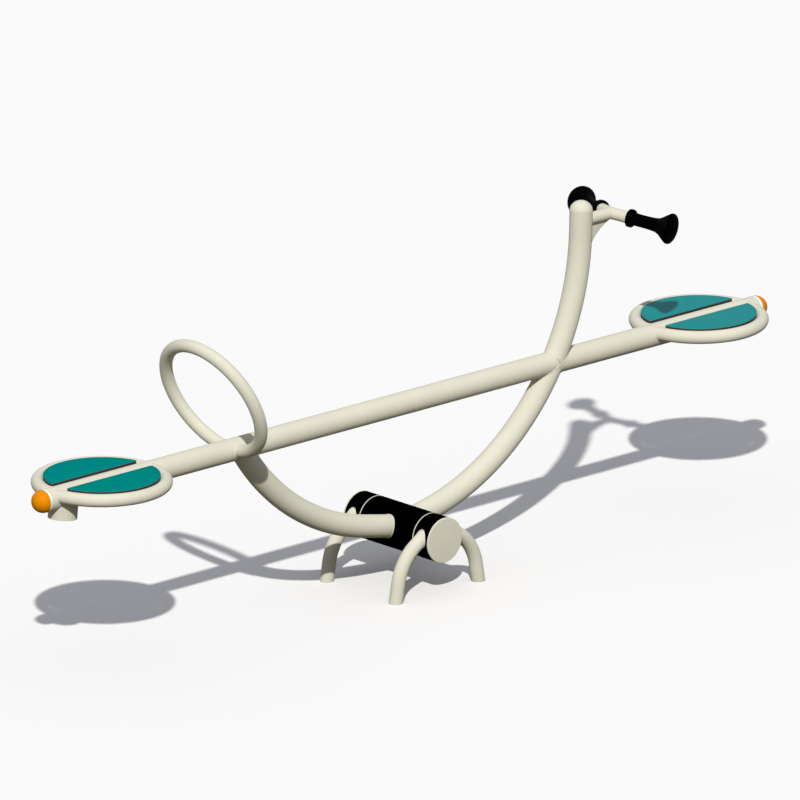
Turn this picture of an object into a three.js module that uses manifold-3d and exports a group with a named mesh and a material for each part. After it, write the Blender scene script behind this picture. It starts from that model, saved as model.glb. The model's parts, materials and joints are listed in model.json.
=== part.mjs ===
// Playground seesaw: a straight steel beam on a low central bearing, with a round
// two-pad seat at each end. Millimetres, +Z up, +X along the beam towards the seat
// with the handlebar, origin on the ground under the middle of the beam.
import * as THREE from 'three';
import { mergeVertices } from 'three/addons/utils/BufferGeometryUtils.js';
import Module from 'manifold-3d';

const wasm = await Module();
wasm.setup();

// ---- driving dimensions -------------------------------------------------------
const GAP = 0.3; // clearance between neighbouring solids
const PIVOT_HEIGHT = 139; // pivot axis above the ground
const BEAM_RISE = 318; // beam axis above the pivot axis
const TILT = THREE.MathUtils.degToRad(19.4); // travel each way

const BEAM = { radius: 28.8, wall: 3.2, half: 1186.5, sides: 16 };
const SEAL = { thick: 6.5 };
const DOME = { rise: 29.7, spigot: 23.2, depth: 24, hollow: 20, neck: 14, shell: 5 };
const SEAT = { reach: 1000, rise: 9.5, radius: 157.5, tube: 16.2, wall: 2.6, step: 15 };
const PAD = { radius: 144, edge: 26, top: 27.8, thick: 10, chamfer: 4.4, inset: 6, blunt: 6 };
const PLATE = { radius: 141.2, thick: 4 }; // steel plate under each pad, inside the ring
const SCREW = { spread: 60, middle: 85, radius: 2.5, head: 6, headHigh: 3.5, bite: 6, sides: 8 };
const BOW = { // two arcs about centres above the beam, each running out straight into the hub
  left: { x: 4.1, z: 340.7, radius: 643.8 },
  right: { x: -41.5, z: 335.9, radius: 640.4 },
  slope: THREE.MathUtils.degToRad(11.8),
  stop: 20,
  steps: 12,
};
const COLUMN = { lean: THREE.MathUtils.degToRad(2), top: 372, dome: 26, depth: 20, steps: 12 };
const STEM = { start: 600, x: 701, z: 345.5, radius: 15, wall: 3 };
const GRIP = { start: 51, length: 128, bore: 10, depth: 116, out: [0.30, 0.95, -0.095] };
const BAR = { overlap: 15, spigotStart: 20, spigotEnd: 114, spigotSides: 12 };
const GUSSET = { x: 738, z: 212, radius: 127, thick: 8, back: 610, foot: 262, front: 690, head: 340 };
const HOOP = { x: -566.5, lean: THREE.MathUtils.degToRad(23.9), open: THREE.MathUtils.degToRad(8) };
const STOP = { x: -1130, drop: 55.3, radius: 36.4, wall: 4, lean: THREE.MathUtils.degToRad(5) };
const STOP_PAD = { radius: 30.2, out: 1.5, deep: 14 };
const BARREL = { radius: 57.15, wall: 6.3, seam: 98, end: 149.8, sides: 24 };
const SEAM_RING = { proud: 0.4, seat: 1, half: 1.1 };
const HUB_CAP = { radius: 57.5, end: 154.2, round: 2.5, plug: 44, plugEnd: 144 };
const AXLE = { radius: 15, half: 139, chamfer: 2 };
const FIT = 0.4; // radial play of the bushes and rubbers round the axle
const WEB = { inner: 68, outer: 80, bore: 22 };
const BUSH = { flange: 30, flangeThick: 4, past: 2 };
const DIAPHRAGM = { low: 108, high: 118 };
const NUT = { radius: 27, thick: 13 };
const TORSION = { low: 24, high: 62 };
const STOP_ARM = { half: 7, boss: 24, bossHalf: 9, width: 18, high: 24, middle: -32 };
const BUFFER = { thick: 15, size: 30, middle: -42, slack: THREE.MathUtils.degToRad(0.6) };
const LEG = { y: 125, radius: 17.5, wall: 2.6, bend: 130, footWall: 4, steps: 8 };
const LEG_TOP = new THREE.Vector3(18, 0, 29);
const LEG_CORNER = new THREE.Vector3(120, 0, -35);
const LEG_FOOT = new THREE.Vector3(138.4, 0, -PIVOT_HEIGHT);

const ENDS = [['left', -1], ['right', 1]];
const FACES = [['near', -1], ['far', 1]];

// ---- finishes -----------------------------------------------------------------
const FINISH = {
  cream: { color: 0xe2dcc8, roughness: 0.45, metalness: 0 },
  teal: { color: 0x008a83, roughness: 0.5, metalness: 0 },
  orange: { color: 0xff8c00, roughness: 0.35, metalness: 0 },
  seal: { color: 0xe9eef0, roughness: 0.5, metalness: 0 },
  blackSteel: { color: 0x0b0b0c, roughness: 0.45, metalness: 0 },
  blackRubber: { color: 0x0c0c0d, roughness: 0.6, metalness: 0 },
  steel: { color: 0x9a9da1, roughness: 0.35, metalness: 1 },
  bronze: { color: 0xb08850, roughness: 0.4, metalness: 1 },
};

function part(name, geometry, finish) {
  const mesh = new THREE.Mesh(geometry, new THREE.MeshStandardMaterial(FINISH[finish]));
  mesh.name = name;
  return mesh;
}

// ---- curves -------------------------------------------------------------------
// A circular arc about a centre, spanned by two unit directions at right angles.
class Arc extends THREE.Curve {
  constructor(centre, across, up, radius, from, to) {
    super();
    Object.assign(this, { centre, across, up, radius, from, to });
  }

  getPoint(t, target = new THREE.Vector3()) {
    const angle = this.from + t * (this.to - this.from);
    return target.copy(this.centre)
      .addScaledVector(this.across, this.radius * Math.cos(angle))
      .addScaledVector(this.up, this.radius * Math.sin(angle));
  }
}

const X = new THREE.Vector3(1, 0, 0);
const Y = new THREE.Vector3(0, 1, 0);
const Z = new THREE.Vector3(0, 0, 1);
const vec = (x, y, z) => new THREE.Vector3(x, y, z);

// A straight run, a bend of the given radius, and a second straight run.
function bentPath(start, corner, end, radius) {
  const back = start.clone().sub(corner).normalize();
  const on = end.clone().sub(corner).normalize();
  const half = back.angleTo(on) / 2;
  const setback = radius / Math.tan(half);
  const inward = back.clone().add(on).normalize();
  const centre = corner.clone().addScaledVector(inward, radius / Math.sin(half));
  const first = corner.clone().addScaledVector(back, setback);
  const across = first.clone().sub(centre).normalize();
  const path = new THREE.CurvePath();
  path.add(new THREE.LineCurve3(start, first));
  path.add(new Arc(centre, across, back.clone().negate(), radius, 0, Math.PI - 2 * half));
  path.add(new THREE.LineCurve3(corner.clone().addScaledVector(on, setback), end));
  return path;
}

// ---- solids -------------------------------------------------------------------
function circle(radius, sides) {
  return Array.from({ length: sides }, (_, i) => {
    const angle = (2 * Math.PI * i) / sides;
    return new THREE.Vector2(radius * Math.cos(angle), radius * Math.sin(angle));
  });
}

// A round tube, or a bar when the wall is 0, along a path. The bore has half the sides.
function sweep(path, steps, radius, wall = 0, sides = 16) {
  const shape = new THREE.Shape(circle(radius, sides));
  if (wall > 0) shape.holes.push(new THREE.Path(circle(radius - wall, sides / 2)));
  return new THREE.ExtrudeGeometry(shape, { steps, extrudePath: path });
}

function straight(a, b, radius, wall = 0, sides = 16) {
  return sweep(new THREE.LineCurve3(a, b), 1, radius, wall, sides);
}

// A turned piece about the Y axis. The profile lists [radius, height] pairs, with the
// material on its left, from axis to axis or round a closed loop.
function turned(profile, sides = 24) {
  return new THREE.LatheGeometry(profile.map(([r, y]) => new THREE.Vector2(r, y)), sides);
}

function ring(inner, outer, low, high, sides) {
  return turned([[inner, low], [outer, low], [outer, high], [inner, high], [inner, low]], sides);
}

function drum(radius, low, high, sides) {
  return turned([[0, low], [radius, low], [radius, high], [0, high]], sides);
}

// A plate in the X-Z plane, its thickness centred on Y.
function plate(outline, thick) {
  const shape = new THREE.Shape(outline);
  return new THREE.ExtrudeGeometry(shape, { depth: thick, bevelEnabled: false })
    .rotateX(Math.PI / 2).translate(0, thick / 2, 0);
}

// A hollow domed cap with a spigot that plugs into a tube of the beam's size.
function domedCap(rise, depth) {
  const { spigot, hollow, neck, shell } = DOME;
  const profile = [[0, rise - shell], [neck, rise - 2 * shell], [hollow, 0], [hollow, -depth],
    [spigot, -depth], [spigot, 0]];
  const steps = 5;
  for (let i = 0; i < steps; i += 1) {
    const angle = (i * Math.PI) / (2 * steps);
    profile.push([BEAM.radius * Math.cos(angle), rise * Math.sin(angle)]);
  }
  profile.push([0, rise]);
  return turned(profile, BEAM.sides);
}

// Convex outlines of equal point count stacked at rising heights.
function stacked(layers) {
  const count = layers[0].outline.length;
  const position = layers.flatMap(({ outline, z }) => outline.flatMap((p) => [p.x, p.y, z]));
  const index = [];
  for (let k = 0; k + 1 < layers.length; k += 1) {
    for (let i = 0; i < count; i += 1) {
      const low = k * count + i;
      const lowNext = k * count + ((i + 1) % count);
      index.push(low, lowNext, lowNext + count, low, lowNext + count, low + count);
    }
  }
  const top = (layers.length - 1) * count;
  for (let i = 1; i + 1 < count; i += 1) {
    index.push(0, i + 1, i);
    index.push(top, top + i, top + i + 1);
  }
  const geometry = new THREE.BufferGeometry();
  geometry.setAttribute('position', new THREE.Float32BufferAttribute(position, 3));
  geometry.setIndex(index);
  return geometry;
}

function solid(geometry) {
  const bare = geometry.clone();
  bare.deleteAttribute('normal');
  bare.deleteAttribute('uv');
  const merged = mergeVertices(bare, 1e-4);
  const index = merged.getIndex().array;
  const triangles = [];
  for (let i = 0; i < index.length; i += 3) {
    const [a, b, c] = [index[i], index[i + 1], index[i + 2]];
    if (a !== b && b !== c && c !== a) triangles.push(a, b, c);
  }
  return new wasm.Manifold(new wasm.Mesh({
    numProp: 3,
    vertProperties: new Float32Array(merged.getAttribute('position').array),
    triVerts: new Uint32Array(triangles),
  }));
}

function faceted(manifold) {
  const mesh = manifold.getMesh();
  const geometry = new THREE.BufferGeometry();
  geometry.setAttribute('position', new THREE.BufferAttribute(mesh.vertProperties, 3));
  geometry.setIndex(new THREE.BufferAttribute(mesh.triVerts, 1));
  geometry.computeVertexNormals();
  return geometry;
}

// A piece cut back from the neighbours it is welded to or passes through.
function cut(geometry, ...cutters) {
  return faceted(cutters.reduce((piece, cutter) => piece.subtract(solid(cutter)), solid(geometry)));
}

// ---- cutters, a gap larger than the pieces they stand for -----------------------
const beamCutter = straight(vec(-BEAM.half, 0, 0), vec(BEAM.half, 0, 0), BEAM.radius + GAP, 0,
  BEAM.sides);
const sleeveCutter = drum(BARREL.radius + GAP, -BARREL.seam, BARREL.seam, BARREL.sides)
  .translate(0, 0, -BEAM_RISE);
const columnPath = handleColumnPath();
const columnCutter = sweep(columnPath, COLUMN.steps, BEAM.radius + GAP, 0, BEAM.sides);
const stemCutter = straight(vec(STEM.start, 0, STEM.z), vec(STEM.x + GAP, 0, STEM.z),
  STEM.radius + GAP);

// ---- beam and its ends ----------------------------------------------------------
function addBeam(rocker) {
  rocker.add(part('main_beam', straight(vec(-BEAM.half, 0, 0), vec(BEAM.half, 0, 0), BEAM.radius,
    BEAM.wall, BEAM.sides), 'cream'));
  for (const [end, side] of ENDS) {
    const seal = part(`end_seal_${end}`,
      ring(DOME.spigot + GAP, BEAM.radius, GAP, SEAL.thick, BEAM.sides), 'seal');
    const dome = part(`end_dome_${end}`, domedCap(DOME.rise, DOME.depth), 'orange');
    seal.position.x = side * BEAM.half;
    dome.position.x = side * (BEAM.half + SEAL.thick + GAP);
    seal.rotation.z = (-side * Math.PI) / 2;
    dome.rotation.z = (-side * Math.PI) / 2;
    rocker.add(seal, dome);
  }
}

// ---- seats ------------------------------------------------------------------------
// Half of a flat disc: a straight edge beside the beam, blunt corners and a round side.
function halfDisc(radius, edge, blunt) {
  const corner = Math.sqrt(radius * radius - edge * edge) - blunt;
  const first = THREE.MathUtils.radToDeg(Math.asin(edge / radius) + blunt / radius);
  const angles = [first];
  for (let a = SEAT.step; a < 180; a += SEAT.step) angles.push(a);
  angles.push(180 - first);
  const arc = angles.map((a) => {
    const angle = THREE.MathUtils.degToRad(a);
    return new THREE.Vector2(radius * Math.cos(angle), radius * Math.sin(angle));
  });
  return [new THREE.Vector2(-corner, edge), new THREE.Vector2(corner, edge), ...arc];
}

function screwAt(x, y, radius) {
  const below = 5;
  return straight(vec(x, y, -below), vec(x, y, PAD.top - PAD.thick + SCREW.bite), radius, 0,
    SCREW.sides);
}

function addSeat(rocker, end, side) {
  const seat = new THREE.Group();
  seat.position.x = side * SEAT.reach;
  const centre = vec(0, 0, SEAT.rise);
  const beam = beamCutter.clone().translate(-side * SEAT.reach, 0, 0);
  const padLow = PAD.top - PAD.thick;
  const plateTop = padLow - GAP;
  const plateLow = plateTop - PLATE.thick;
  const wide = halfDisc(PAD.radius, PAD.edge, PAD.blunt);
  const narrow = halfDisc(PAD.radius - PAD.inset, PAD.edge, PAD.blunt);
  const panel = stacked([
    { outline: narrow, z: padLow },
    { outline: wide, z: padLow + PAD.chamfer },
    { outline: wide, z: PAD.top },
  ]);
  const plateOutline = halfDisc(PLATE.radius, PAD.edge, PAD.blunt);
  const support = stacked([
    { outline: plateOutline, z: plateLow },
    { outline: plateOutline, z: plateTop },
  ]);
  const holes = [-1, 1].map((s) => screwAt(s * SCREW.spread, SCREW.middle, SCREW.radius + GAP));
  const headTop = plateLow - GAP;
  const headLow = headTop - SCREW.headHigh;
  const tip = padLow + SCREW.bite - 1;
  const screw = [[0, headLow], [SCREW.head, headLow], [SCREW.head, headTop],
    [SCREW.radius, headTop], [SCREW.radius, tip], [0, tip]];

  for (const [face, front] of FACES) {
    const half = new THREE.Group();
    half.rotation.z = front > 0 ? 0 : Math.PI;
    const arc = new Arc(centre, X, Y, SEAT.radius, 0, Math.PI);
    const tube = sweep(arc, 180 / SEAT.step, SEAT.tube, SEAT.wall, 12);
    const clearance = front > 0 ? beam : beam.clone().rotateZ(Math.PI);
    half.add(part(`seat_ring_${end}_${face}`, cut(tube, clearance), 'cream'));
    half.add(part(`seat_pad_${end}_${face}`, cut(panel, ...holes), 'teal'));
    half.add(part(`seat_plate_${end}_${face}`, cut(support, ...holes), 'cream'));
    [['a', -1], ['b', 1]].forEach(([letter, s]) => {
      const geometry = turned(screw, SCREW.sides).rotateX(Math.PI / 2);
      const bolt = part(`pad_screw_${end}_${face}_${letter}`, geometry, 'steel');
      bolt.position.set(s * SCREW.spread, SCREW.middle, 0);
      half.add(bolt);
    });
    seat.add(half);
  }
  rocker.add(seat);
}

// ---- bow under the beam and the handle column over it -----------------------------------
function bowArc({ x, z, radius }, from, to) {
  return new Arc(vec(x, 0, z), X, Z, radius, from, to);
}

// Angle below the horizontal at which an arc of the bow crosses the beam axis.
function meetsBeam({ z, radius }) {
  return Math.asin(z / radius);
}

// From the beam down the arc, then straight along its end into the hub.
function bowPath(arc, side) {
  const start = side > 0 ? -meetsBeam(arc) : meetsBeam(arc) - Math.PI;
  const curve = bowArc(arc, start, side * BOW.slope - Math.PI / 2);
  const last = curve.getPoint(1);
  const run = Math.abs(last.x) - BOW.stop;
  const path = new THREE.CurvePath();
  path.add(curve);
  path.add(new THREE.LineCurve3(last, vec(side * BOW.stop, 0, last.z - run * Math.tan(BOW.slope))));
  return path;
}

function handleColumnPath() {
  const arc = bowArc(BOW.right, -meetsBeam(BOW.right), -COLUMN.lean);
  const top = arc.getPoint(1);
  const rise = COLUMN.top - top.z;
  const path = new THREE.CurvePath();
  path.add(arc);
  path.add(new THREE.LineCurve3(top, vec(top.x + rise * Math.tan(COLUMN.lean), 0, COLUMN.top)));
  return path;
}

function addBow(rocker) {
  for (const [end, side] of ENDS) {
    const tube = sweep(bowPath(BOW[end], side), BOW.steps, BEAM.radius, BEAM.wall, BEAM.sides);
    rocker.add(part(`bow_${end}`, cut(tube, beamCutter, sleeveCutter), 'cream'));
  }
}

function addColumn(rocker) {
  const tube = sweep(columnPath, COLUMN.steps, BEAM.radius, BEAM.wall, BEAM.sides);
  rocker.add(part('handle_column', cut(tube, beamCutter), 'cream'));
  const cap = part('column_cap', domedCap(COLUMN.dome, COLUMN.depth).rotateX(Math.PI / 2), 'cream');
  const up = vec(Math.sin(COLUMN.lean), 0, Math.cos(COLUMN.lean));
  cap.position.copy(columnPath.getPoint(1)).addScaledVector(up, GAP);
  cap.rotation.y = COLUMN.lean;
  rocker.add(cap);
}

// ---- handlebar ------------------------------------------------------------------------------
function gussetOutline() {
  const { x, z, radius, back, foot, front, head } = GUSSET;
  const from = Math.asin((foot - z) / radius);
  const to = Math.acos((x - front) / radius);
  const steps = 6;
  const outline = [new THREE.Vector2(back, head), new THREE.Vector2(back, foot)];
  for (let i = 0; i <= steps; i += 1) {
    const angle = from + (i / steps) * (to - from);
    outline.push(new THREE.Vector2(x - radius * Math.cos(angle), z + radius * Math.sin(angle)));
  }
  outline.push(new THREE.Vector2(front, head));
  return outline;
}

// Bored for the bar's spigot: a flange, a slim waist and a wide domed end.
function gripProfile() {
  const bore = GRIP.bore + GAP;
  return [[0, GRIP.depth], [bore, GRIP.depth], [bore, 0],
    [20, 0], [22.8, 3], [22.8, 9.5], [20, 13], [16.2, 15],
    [15.8, 43], [16.5, 65], [18.3, 83], [24, 93], [31.5, 104], [36.5, 112],
    [38.8, 117], [38, 122], [30, 126], [0, GRIP.length]];
}

function addHandlebar(rocker) {
  const joint = vec(STEM.x, 0, STEM.z);
  const stem = straight(vec(STEM.start, 0, STEM.z), joint, STEM.radius, STEM.wall);
  rocker.add(part('handle_stem', cut(stem, columnCutter), 'cream'));
  const gusset = plate(gussetOutline(), GUSSET.thick);
  rocker.add(part('stem_gusset', cut(gusset, columnCutter, stemCutter), 'cream'));

  for (const [face, front] of FACES) {
    const out = vec(GRIP.out[0], front * GRIP.out[1], GRIP.out[2]).normalize();
    const at = (distance) => joint.clone().addScaledVector(out, distance);
    const stub = straight(at(-BAR.overlap), at(GRIP.start - GAP), STEM.radius);
    const spigot = straight(at(BAR.spigotStart), at(GRIP.start + BAR.spigotEnd), GRIP.bore, 0,
      BAR.spigotSides);
    const otherSide = new THREE.BoxGeometry(80, 40, 80)
      .translate(STEM.x, front * (GAP / 2 - 20), STEM.z);
    const bar = solid(stub).subtract(solid(otherSide)).subtract(solid(stemCutter))
      .add(solid(spigot));
    rocker.add(part(`handle_bar_${face}`, faceted(bar), 'cream'));
    const sleeve = part(`handle_grip_${face}`, turned(gripProfile(), 16), 'blackRubber');
    sleeve.position.copy(at(GRIP.start));
    sleeve.quaternion.setFromUnitVectors(Y, out);
    rocker.add(sleeve);
  }
}

// ---- hoop handle -------------------------------------------------------------------------------
function addHoop(rocker) {
  const up = vec(-Math.sin(HOOP.lean), 0, Math.cos(HOOP.lean));
  const centre = vec(HOOP.x, 0, 0).addScaledVector(up, SEAT.radius);
  const arc = new Arc(centre, Y, up, SEAT.radius, HOOP.open - Math.PI / 2,
    1.5 * Math.PI - HOOP.open);
  const tube = sweep(arc, 22, SEAT.tube, SEAT.wall, 12);
  rocker.add(part('hoop_handle', cut(tube, beamCutter), 'cream'));
}

// ---- ground stop under the left seat --------------------------------------------------------------
function addGroundStop(rocker) {
  const up = vec(Math.sin(STOP.lean), 0, Math.cos(STOP.lean));
  const bottom = vec(STOP.x, 0, -STOP.drop);
  const top = bottom.clone().addScaledVector(up, STOP.drop + BEAM.radius);
  const shell = straight(top, bottom, STOP.radius, STOP.wall, 20);
  const room = 200;
  const ringAbove = new THREE.BoxGeometry(room, room, room)
    .translate(STOP.x, 0, room / 2 + SEAT.rise - SEAT.tube - GAP);
  rocker.add(part('ground_stop_tube', cut(shell, beamCutter, ringAbove), 'cream'));
  const { radius, out, deep } = STOP_PAD;
  const plug = [[0, -out], [radius - out, -out], [radius, 0], [radius, deep], [0, deep]];
  const buffer = part('ground_stop_buffer', turned(plug, 20), 'blackRubber');
  buffer.position.copy(bottom);
  buffer.quaternion.setFromUnitVectors(Y, up);
  rocker.add(buffer);
}

// ---- hub: the parts that rock ------------------------------------------------------------------------
function addRockingHub(rocker) {
  const hub = new THREE.Group();
  hub.position.z = -BEAM_RISE;
  const outer = BARREL.radius;
  const inner = BARREL.radius - BARREL.wall;
  const end = BARREL.seam - SEAM_RING.half - GAP;
  const { inner: low, outer: high, bore } = WEB;
  const sleeve = [[inner, -end], [outer, -end], [outer, end], [inner, end], [inner, high],
    [bore, high], [bore, low], [inner, low], [inner, -low], [bore, -low], [bore, -high],
    [inner, -high], [inner, -end]];
  hub.add(part('pivot_sleeve', turned(sleeve, BARREL.sides), 'blackSteel'));

  const fit = AXLE.radius + FIT;
  const flangeLow = high + GAP;
  const flangeHigh = high + BUSH.flangeThick;
  const bush = [[fit, low - BUSH.past], [bore - FIT, low - BUSH.past], [bore - FIT, flangeLow],
    [BUSH.flange, flangeLow], [BUSH.flange, flangeHigh], [fit, flangeHigh], [fit, low - BUSH.past]];
  for (const [face, front] of FACES) {
    const turn = front > 0 ? 0 : Math.PI;
    const seam = ring(inner + SEAM_RING.seat, outer + SEAM_RING.proud,
      BARREL.seam - SEAM_RING.half, BARREL.seam + SEAM_RING.half, BARREL.sides);
    hub.add(part(`hub_seam_ring_${face}`, seam.rotateZ(turn), 'cream'));
    hub.add(part(`bearing_bush_${face}`, turned(bush).rotateZ(turn), 'bronze'));
  }

  const cavity = solid(drum(inner - 2 * GAP, -BUFFER.size, BUFFER.size, BARREL.sides));
  for (const [side, sign] of ENDS) {
    const block = new THREE.BoxGeometry(BUFFER.thick, BUFFER.size, BUFFER.size)
      .translate(sign * (STOP_ARM.half + GAP + BUFFER.thick / 2), 0, BUFFER.middle)
      .rotateY(-sign * (TILT + BUFFER.slack));
    const buffer = faceted(solid(block).intersect(cavity));
    hub.add(part(`travel_buffer_${side}`, buffer, 'blackRubber'));
  }
  rocker.add(hub);
}

// ---- hub: the parts that stay still ---------------------------------------------------------------------
function addStandHub(stand) {
  const outer = BARREL.radius;
  const inner = BARREL.radius - BARREL.wall;
  const start = BARREL.seam + SEAM_RING.half + GAP;
  const bore = AXLE.radius + GAP;
  const { low, high } = DIAPHRAGM;
  const collar = [[inner, start], [outer, start], [outer, BARREL.end], [inner, BARREL.end],
    [inner, high], [bore, high], [bore, low], [inner, low], [inner, start]];

  const { radius, end, round, plug, plugEnd } = HUB_CAP;
  const back = BARREL.end + GAP;
  const rim = inner - 2 * GAP;
  const cap = [[0, back], [plug, back], [plug, plugEnd], [rim, plugEnd], [rim, back],
    [radius, back], [radius, end - round], [radius - round / 3, end - round / 3],
    [radius - round, end], [0, end]];

  const { half, chamfer } = AXLE;
  const axle = [[0, -half], [AXLE.radius - chamfer, -half], [AXLE.radius, chamfer - half],
    [AXLE.radius, half - chamfer], [AXLE.radius - chamfer, half], [0, half]];
  stand.add(part('axle', turned(axle), 'steel'));

  const hex = new THREE.Shape(circle(NUT.radius, 6));
  hex.holes.push(new THREE.Path(circle(AXLE.radius + FIT, 24)));
  const rubber = ring(AXLE.radius + FIT, inner - 2 * FIT, TORSION.low, TORSION.high, BARREL.sides);
  for (const [face, front] of FACES) {
    const turn = front > 0 ? 0 : Math.PI;
    const nut = new THREE.ExtrudeGeometry(hex, { depth: NUT.thick, bevelEnabled: false })
      .rotateX(-Math.PI / 2).translate(0, high + GAP, 0).rotateZ(turn);
    stand.add(part(`hub_collar_${face}`, turned(collar, BARREL.sides).rotateZ(turn), 'blackSteel'));
    stand.add(part(`hub_cap_${face}`, turned(cap, BARREL.sides).rotateZ(turn), 'cream'));
    stand.add(part(`axle_nut_${face}`, nut, 'steel'));
    stand.add(part(`torsion_rubber_${face}`, rubber.clone().rotateZ(turn), 'blackRubber'));
  }

  const arm = STOP_ARM;
  const boss = ring(AXLE.radius + FIT, arm.boss, -arm.bossHalf, arm.bossHalf, 24);
  const blade = new THREE.BoxGeometry(2 * arm.half, arm.width, arm.high)
    .translate(0, 0, arm.middle);
  stand.add(part('stop_arm', faceted(solid(boss).add(solid(blade))), 'steel'));
}

// ---- legs ------------------------------------------------------------------------------------
function addLegs(stand) {
  const barrel = solid(drum(BARREL.radius + GAP, -2 * LEG.y, 2 * LEG.y, BARREL.sides));
  const past = 12;
  for (const [end, side] of ENDS) {
    for (const [face, front] of FACES) {
      const place = (p) => vec(side * p.x, front * LEG.y, p.z);
      const [top, corner, foot] = [LEG_TOP, LEG_CORNER, LEG_FOOT].map(place);
      foot.addScaledVector(foot.clone().sub(corner).normalize(), past);
      const path = bentPath(top, corner, foot, LEG.bend);
      const outer = solid(sweep(path, LEG.steps, LEG.radius, 0, 12));
      const inner = solid(sweep(path, LEG.steps, LEG.radius - LEG.wall, 0, 6));
      const slabBelow = (height) => solid(new THREE.BoxGeometry(120, 60, 60)
        .translate(foot.x, foot.y, height - 30));
      const leg = outer.subtract(inner.subtract(slabBelow(LEG.footWall - PIVOT_HEIGHT)))
        .subtract(slabBelow(-PIVOT_HEIGHT)).subtract(barrel);
      stand.add(part(`leg_${end}_${face}`, faceted(leg), 'cream'));
    }
  }
}

// ---- assembly --------------------------------------------------------------------------------
const seesaw = new THREE.Group();
const stand = new THREE.Group();
stand.position.z = PIVOT_HEIGHT;
const rocker = new THREE.Group();
rocker.position.z = PIVOT_HEIGHT + BEAM_RISE;
seesaw.add(stand, rocker);

addStandHub(stand);
addLegs(stand);
addRockingHub(rocker);
addBow(rocker);
addBeam(rocker);
for (const [end, side] of ENDS) addSeat(rocker, end, side);
addColumn(rocker);
addHandlebar(rocker);
addHoop(rocker);
addGroundStop(rocker);

export default seesaw;
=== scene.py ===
"""Playground seesaw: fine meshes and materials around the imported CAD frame. Metres, +Z up."""

import json
import math

import bmesh
import bpy
import numpy as np
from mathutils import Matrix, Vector


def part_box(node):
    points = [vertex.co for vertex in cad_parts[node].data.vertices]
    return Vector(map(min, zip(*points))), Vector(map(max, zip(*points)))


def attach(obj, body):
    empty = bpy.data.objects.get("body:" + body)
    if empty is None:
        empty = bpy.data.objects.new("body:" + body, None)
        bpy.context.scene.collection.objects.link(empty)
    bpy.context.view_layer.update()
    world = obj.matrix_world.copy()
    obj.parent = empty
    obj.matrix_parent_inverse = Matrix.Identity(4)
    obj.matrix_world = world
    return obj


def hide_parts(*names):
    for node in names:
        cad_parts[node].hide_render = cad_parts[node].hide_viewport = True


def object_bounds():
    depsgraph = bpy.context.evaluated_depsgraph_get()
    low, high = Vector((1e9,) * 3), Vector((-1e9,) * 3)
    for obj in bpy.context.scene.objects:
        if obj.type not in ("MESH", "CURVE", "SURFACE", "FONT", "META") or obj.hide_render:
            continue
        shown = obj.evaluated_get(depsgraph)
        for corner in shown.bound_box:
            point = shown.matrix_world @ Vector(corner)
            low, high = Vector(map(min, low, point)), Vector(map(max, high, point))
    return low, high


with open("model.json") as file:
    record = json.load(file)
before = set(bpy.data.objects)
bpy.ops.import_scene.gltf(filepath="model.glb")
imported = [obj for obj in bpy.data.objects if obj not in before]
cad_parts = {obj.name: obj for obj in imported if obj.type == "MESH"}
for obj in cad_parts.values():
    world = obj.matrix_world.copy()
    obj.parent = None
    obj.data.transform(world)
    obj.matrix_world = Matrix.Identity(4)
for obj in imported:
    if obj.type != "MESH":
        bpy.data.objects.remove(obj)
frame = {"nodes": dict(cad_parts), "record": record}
CAD_LOW, CAD_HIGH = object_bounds()
MM = 0.001
TAU = 2 * math.pi
EX, EY, EZ = np.eye(3)

# ---------------------------------------------------------------- sizes read from the frame
PIVOT = np.array(frame["record"]["behaviour"]["joints"][0]["pos_m"])


def low_high(node):
    low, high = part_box(node)
    return np.array(low), np.array(high)


def middle(node):
    low, high = low_high(node)
    return (low + high) / 2


def spans(node):
    low, high = low_high(node)
    return high - low


BEAM_AXIS = middle("main_beam")
BEAM_HALF = spans("main_beam")[0] / 2
BEAM_R = spans("main_beam")[2] / 2
BEAM_WALL = 3.2 * MM
RING_Z = middle("seat_ring_right_far")[2]
RING_TUBE = spans("seat_ring_right_far")[2] / 2
RING_R = low_high("seat_ring_right_far")[1][1] - RING_TUBE
RING_WALL = 2.6 * MM
SEAT_X = middle("seat_pad_right_far")[0]
PAD_LOW, PAD_HIGH = low_high("seat_pad_right_far")
BARREL_R = spans("pivot_sleeve")[2] / 2
SLEEVE_END = low_high("pivot_sleeve")[1][1]
COLLAR_LOW, COLLAR_HIGH = low_high("hub_collar_far")
CAP_LOW, CAP_HIGH = low_high("hub_cap_far")
CAP_FACE = CAP_HIGH[1]
CAP_BACK = COLLAR_HIGH[1] + 0.3 * MM
CAP_R = CAP_HIGH[2] - PIVOT[2]
LEG_R = spans("leg_right_far")[1] / 2
LEG_Y = middle("leg_right_far")[1]
STEM_R = spans("handle_stem")[1] / 2
STEM_Z = middle("handle_stem")[2]
STEM_END = low_high("handle_stem")[1][0]
COLUMN_TOP = low_high("column_cap")[1][2]

# ---------------------------------------------------------------- sizes the boxes don't give
BOW_CENTRE = {-1: BEAM_AXIS + np.array([4.1, 0, 340.7]) * MM,
              1: BEAM_AXIS + np.array([-41.5, 0, 335.9]) * MM}
BOW_R = {-1: 643.8 * MM, 1: 640.4 * MM}
BOW_SLOPE = math.radians(11.8)
BOW_STOP = 20 * MM
COLUMN_LEAN = math.radians(2)
COLUMN_TUBE_TOP = BEAM_AXIS[2] + 372 * MM
HOOP_FOOT = BEAM_AXIS + np.array([-566.5, 0, 0]) * MM
HOOP_LEAN = math.radians(23.9)
STOP_FOOT = BEAM_AXIS + np.array([-1130, 0, -55.3]) * MM
STOP_LEAN = math.radians(5)
STOP_R = 36.4 * MM
STOP_PAD_R = 30.2 * MM
SPIGOT_R = 23.2 * MM
LEG_TOP = PIVOT + np.array([18, 0, 29]) * MM
LEG_CORNER = PIVOT + np.array([120, 0, -35]) * MM
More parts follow.
